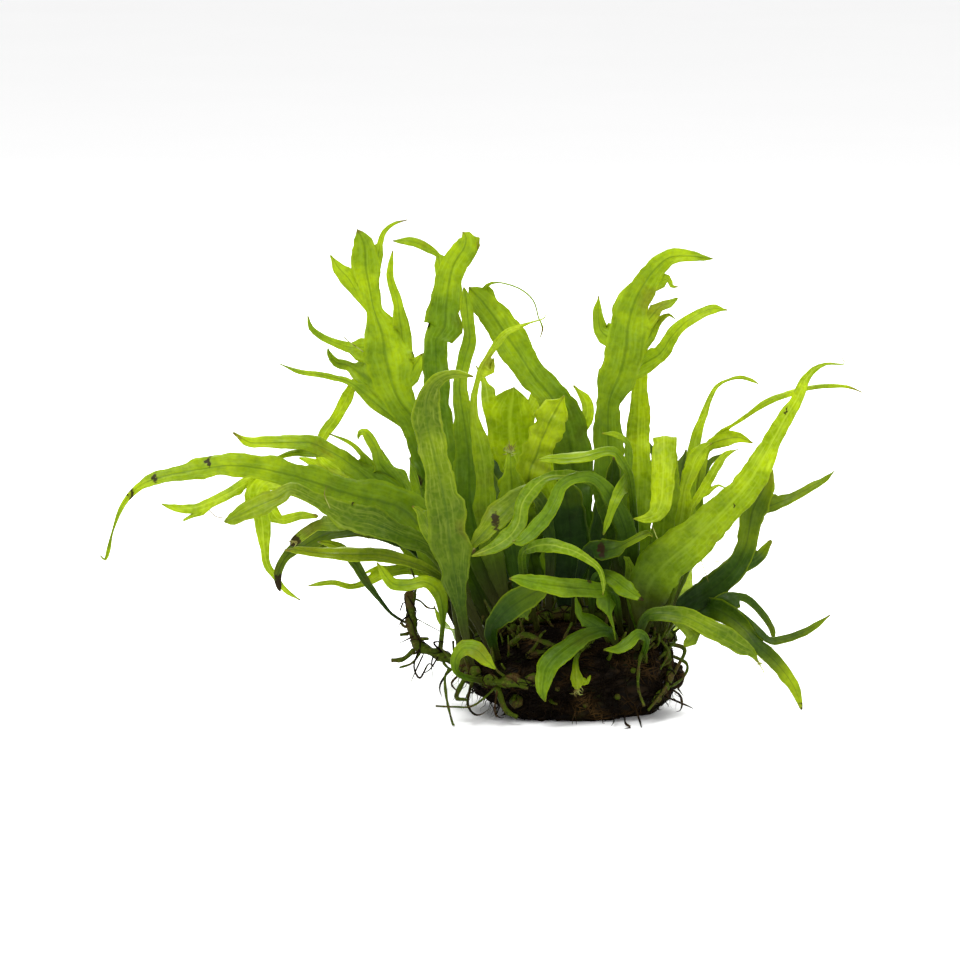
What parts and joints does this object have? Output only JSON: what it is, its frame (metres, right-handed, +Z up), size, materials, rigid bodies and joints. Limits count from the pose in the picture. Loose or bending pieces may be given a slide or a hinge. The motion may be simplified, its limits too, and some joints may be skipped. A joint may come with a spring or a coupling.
{
  "type": "java fern on driftwood",
  "caption": "Aquarium fern with lobed, fork-tipped fronds fanning from creeping rhizomes rooted on a dark, flat-bottomed piece of driftwood.",
  "frame": {"origin": "middle of the driftwood's flat underside, on the surface that it rests on", "axes": "+Z up, -Y the side that faces the viewer, +X along the driftwood to the viewer's right"},
  "size_m": [0.1902, 0.1039, 0.1221],
  "materials": {
    "driftwood": "rough, wet-dark",
    "rhizome": "satin",
    "frond_young": "satin",
    "frond_mature": "satin",
    "frond_shaded": "satin",
    "frond_grey": "satin"
  },
  "bodies": {
    "root": {"driftwood": "driftwood", "frond_arc_five": "frond_mature", "frond_arc_four": "frond_mature", "frond_arc_one": "frond_young", "frond_arc_three": "frond_young", "frond_arc_two": "frond_mature", "frond_back_eight": "frond_shaded", "frond_back_five": "frond_shaded", "frond_back_four": "frond_mature", "frond_back_nine": "frond_young", "frond_back_one": "frond_mature", "frond_back_seven": "frond_mature", "frond_back_six": "frond_young", "frond_back_ten": "frond_mature", "frond_back_three": "frond_young", "frond_back_two": "frond_shaded", "frond_broad_diagonal": "frond_mature", "frond_broken_brown": "frond_shaded", "frond_crested": "frond_mature", "frond_dark_ended": "frond_shaded", "frond_dark_right": "frond_shaded", "frond_dark_upper": "frond_shaded", "frond_diagonal_low": "frond_shaded", "frond_diagonal_yellow": "frond_young", "frond_drooping": "frond_young", "frond_folded_yellow": "frond_young", "frond_front_curl": "frond_mature", "frond_front_tall": "frond_grey", "frond_grey_back": "frond_grey", "frond_inner_strap": "frond_mature", "frond_left_arch": "frond_mature", "frond_left_down": "frond_shaded", "frond_left_folded": "frond_grey", "frond_left_upper": "frond_mature", "frond_left_yellow": "frond_young", "frond_level": "frond_mature", "frond_long_right": "frond_young", "frond_looping": "frond_mature", "frond_narrow": "frond_young", "frond_pale_left": "frond_grey", "frond_pale_right": "frond_grey", "frond_ragged": "frond_young", "frond_shaded_middle": "frond_shaded", "frond_small_low": "frond_mature", "frond_small_right": "frond_mature", "frond_spotted_grey": "frond_grey", "frond_thin_left": "frond_young", "frond_thread_tipped": "frond_young", "frond_twisted": "frond_young", "frond_upper_left": "frond_mature", "frond_upper_middle": "frond_mature", "frond_upper_right": "frond_mature", "frond_upright_short": "frond_shaded", "frond_upright_strap": "frond_young", "frond_yellow_strap": "frond_young", "rhizome_back": "rhizome", "rhizome_crown": "rhizome", "rhizome_front": "rhizome", "rhizome_left": "rhizome", "rhizome_right": "rhizome"}
  },
  "joints": []
}
